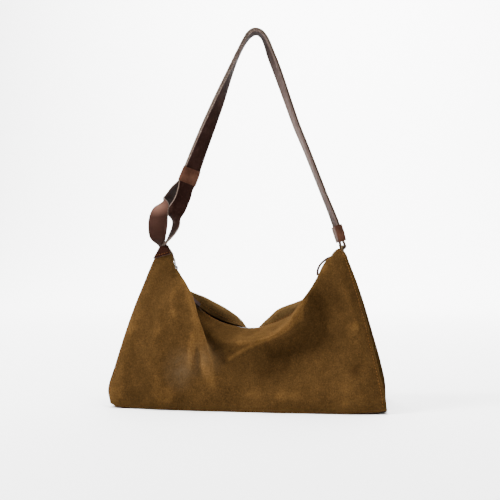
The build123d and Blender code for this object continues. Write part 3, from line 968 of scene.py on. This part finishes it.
def rounded_corners(half_wide, half_high, corner, steps):
    """Points round a rectangle with round corners, anticlockwise from its right side."""
    u, v = half_wide - corner, half_high - corner
    points = []
    for start, x, y in ((0, u, v), (90, -u, v), (180, -u, -v), (270, u, -v)):
        for a in np.radians(np.linspace(start, start + 90, steps)):
            points.append((x + corner * cos(a), y + corner * sin(a)))
    return points


def keeper(name, start, end, half_wide, half_thick, node, body):
    """A leather band round both layers of the strap."""
    outline = rounded_corners(half_wide, half_thick, min(half_thick, 3.2), 7)
    rows = []
    for s in np.linspace(start, end, 17):
        centre, normal, to_edge = along_main(s)
        bulge = 0.25 * sin(pi * (s - start) / (end - start))
        wider, deeper = to_edge * (1 + bulge / 20), normal * (1 + bulge / 4)
        rows.append([centre + wider * u + deeper * v for u, v in outline + outline[:1]])
    grid = np.array(rows)
    grid = facing_out(grid, grid.mean(axis=1, keepdims=True))
    obj = skin(name, grid, -1.4, 1.4, (keeper_leather, tab_leather, strap_edge))
    settle(obj, "keeper_leather", node, body=body)


keeper("keeper_left_band", 4, 26, 13.3, 3.3, "keeper_left", "strap")
keeper("keeper_right_band", MAIN_TOTAL - 25, MAIN_TOTAL - 2, 13.4, 4.2, "keeper_right", None)


def wire_ring():
    """A ring bent from round wire, flat across the bag."""
    path = [(0, y, z) for y, z in rounded_corners(15.4, (UPPER_BAR - LOWER_BAR) / 2, 3.5, 9)]
    path = np.array(path) + (RING_X, 0, (UPPER_BAR + LOWER_BAR) / 2)
    vertices, sides = [], 12
    for k, p in enumerate(path):
        t = path[(k + 1) % len(path)] - path[k - 1]
        out = np.array([0, t[2], -t[1]]) / np.linalg.norm(t)
        for turn in np.arange(sides) * 2 * pi / sides:
            vertices.append(p + (out * cos(turn) + np.array([1, 0, 0]) * sin(turn)) * RING_WIRE)
    obj = make_mesh("ring_brass", vertices, tube_faces(0, len(path), sides, closed=True), [brass])
    obj.data.validate()
    settle(obj, "brass", "ring")


wire_ring()


# ---- the ring's chape, the strap's root, the corner cap and the tab at the zip's end ----
# centre lines (x, z) of strips that lie across the bag
CHAPE = [
    (121, 197), (125, 205), (128.4, 211), (129.2, 214), (132, 215.6), (134.8, 214), (135, 211.4),
    (133, 207.5), (129.5, 202), (126, 196),
]
ROOT = [
    (-127.6, 212), (-128, 219), (-126.8, 223.4), (-124.6, 225), (-122.4, 223.4), (-121.4, 219), (-121.2, 212),
]
END_TAB = [(120, 209), (112, 206.8), (105, 202), (100, 196.5), (97, 190), (96.5, 182)]


def flat_strip(name, line, half, thickness, materials, slot, node):
    line = np.array([(x, 0, z) for x, z in line], float)
    strip(name, across_bag(line, half, 4), thickness, materials, slot, node)


flat_strip("ring_chape_suede", CHAPE, 10.5, 1.6, SUEDE, "suede", "ring_chape_right")
flat_strip("strap_root_leather", ROOT, 10, 2.2, SMALL_LEATHER, "tab_leather", "strap_root_left")


def column_down_to(column, height):
    """Points down a column of the shell, from the opening to a height."""
    z = column[:, 2]
    last = next(k for k in range(7, len(z)) if z[k] < height)
    share = last - 1 + (z[last - 1] - height) / max(z[last - 1] - z[last], 1e-6)
    at = np.linspace(0, share, 12)
    return np.stack([np.interp(at, np.arange(len(z)), column[:, k]) for k in range(3)], axis=1)


def corner_cap():
    """The leather that binds the left peak, front, seam and back."""
    hem, rise, proud = 205.5, 9 / 30, 0.35
    rows = [column_down_to(front[i], hem + rise * i) + [0, -proud, 0] for i in range(30, -1, -2)]
    f, b = rows[-1], column_down_to(back[0], hem) + [0, proud, 0]
    for share in (0.1, 0.3, 0.5, 0.7, 0.9):
        rows.append(f * (1 - share) + b * share + [-1.2 - 1.2 * sin(pi * share), 0, 0])
    rows += [column_down_to(back[i], hem + rise * i) + [0, proud, 0] for i in range(0, 27, 2)]
    grid = facing_out(smoothed(np.array(rows), 1), np.array([-100, 0, 180]))
    obj = skin("corner_cap_leather", grid, -1.3, 1.3, (tab_leather, tab_leather, strap_edge))
    settle(obj, "tab_leather", "corner_cap_left")
    n = normals_of(grid)[:, 9]
    add_stitches("corner_cap_stitches", grid[:, 9] + n * 1.4, n, 3.6, 2.6, 0.34, slot="tab_leather")


corner_cap()
flat_strip("zip_end_tab_leather", END_TAB, 4.2, 2.8, SMALL_LEATHER, "tab_leather", "zip_end_tab")


# ---- the leather pull on the slider ----
def pull_leather():
    """A strip folded round the link and closed on itself, which turns as it hangs."""
    link_low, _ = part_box("pull_link")
    eye = np.array([link_low[0] / MM + 3.5, 0, link_low[2] / MM + 0.8])
    lean = radians(17.5)
    down = np.array([sin(lean), 0, -cos(lean)])
    side = np.array([cos(lean), 0, sin(lean)])

    def leg(t, sign):
        turn = radians(40) * min(1, max(0, (t - 2) / 9))
        across = TO_FRONT * cos(turn) + side * sin(turn)
        normal = side * cos(turn) - TO_FRONT * sin(turn)
        return eye + down * t + normal * 0.72 * sign, across * (3.6 + 1.7 * min(1, t / 7))

    distances = (21.5, 17, 13, 9, 6, 3.5)
    stations = [leg(t, 1) for t in distances]
    for a in np.radians([-20, 35, 90, 145, 200]):
        stations.append((eye + side * 1.7 * cos(a) - down * 1.7 * sin(a), TO_FRONT * 3.4))
    stations += [leg(t, -1) for t in reversed(distances)]
    grid = strip_grid([c + half for c, half in stations], [c - half for c, half in stations], 4)
    strip("pull_tab_leather", grid, 1.1, SMALL_LEATHER, "tab_leather", "pull_tab", body="tab")
    n = normals_of(grid)
    for name, column in (("a", 2), ("b", 6)):
        for part, rows in (("front", slice(0, 20)), ("back", slice(-20, None))):
            lifts = -n[rows, column]
            add_stitches(
                f"pull_tab_stitches_{name}_{part}", grid[rows, column] + lifts * 0.6, lifts, 2.6, 1.9, 0.26,
                dark_thread, "tab_leather", "tab",
            )


pull_leather()


# ---- studio ----
def floor():
    """A pale sweep: flat under the bag and rising far behind it."""
    paper = Nodes("pale_paper").finish((0.97, 0.97, 0.97), 0.9, Specular_IOR_Level=0.1)
    profile = [
        (-3, 0), (-1.5, 0), (0, 0), (1.5, 0), (2.6, 0.02), (3.4, 0.25), (3.9, 0.8), (4.1, 1.8), (4.1, 4),
    ]
    grid = catmull([[(x, y, z) for x in (-5, -2.5, 0, 2.5, 5)] for y, z in profile], 4) / MM
    number = np.arange(grid[..., 0].size).reshape(grid.shape[:2])
    faces = [quad[::-1] for quad in grid_faces(number)]
    obj = make_mesh("studio_floor", grid.reshape(-1, 3), faces, [paper])
    obj.location.z = -0.0004
    return obj


def softbox(name, place, target, size, power):
    light = bpy.data.lights.new(name, "AREA")
    light.shape = "RECTANGLE"
    light.size, light.size_y = size
    light.energy = power
    obj = bpy.data.objects.new(name, light)
    bpy.context.scene.collection.objects.link(obj)
    obj.location = place
    obj.rotation_euler = (Vector(target) - Vector(place)).to_track_quat("-Z", "Y").to_euler()
    return obj


BAG_MIDDLE = (0, 0, 0.2)
lights = [
    softbox("key_left", (-1.8, -0.75, 1.75), BAG_MIDDLE, (0.8, 0.8), 150),
    softbox("fill_right", (1.8, -1.0, 1.6), BAG_MIDDLE, (0.9, 0.9), 16),
    softbox("top", (0.1, 0.1, 2.0), BAG_MIDDLE, (1.4, 1.0), 140),
    softbox("backdrop_wash", (0, 1.9, 2.6), (0, 4.0, 0.7), (3.5, 1.2), 700),
]
world = bpy.data.worlds.new("studio")
bpy.context.scene.world = world
world.use_nodes = True
world.node_tree.nodes["Background"].inputs["Color"].default_value = (1, 1, 1, 1)
world.node_tree.nodes["Background"].inputs["Strength"].default_value = 0.25
floor()

camera_data = bpy.data.cameras.new("camera")
camera_data.lens = 62.9
camera_data.sensor_width = 36
camera = bpy.data.objects.new("camera", camera_data)
bpy.context.scene.collection.objects.link(camera)
camera.location = (0.174, -1.238, 0.218)
camera.rotation_euler = (pi / 2, 0, radians(8))
bpy.context.scene.camera = camera
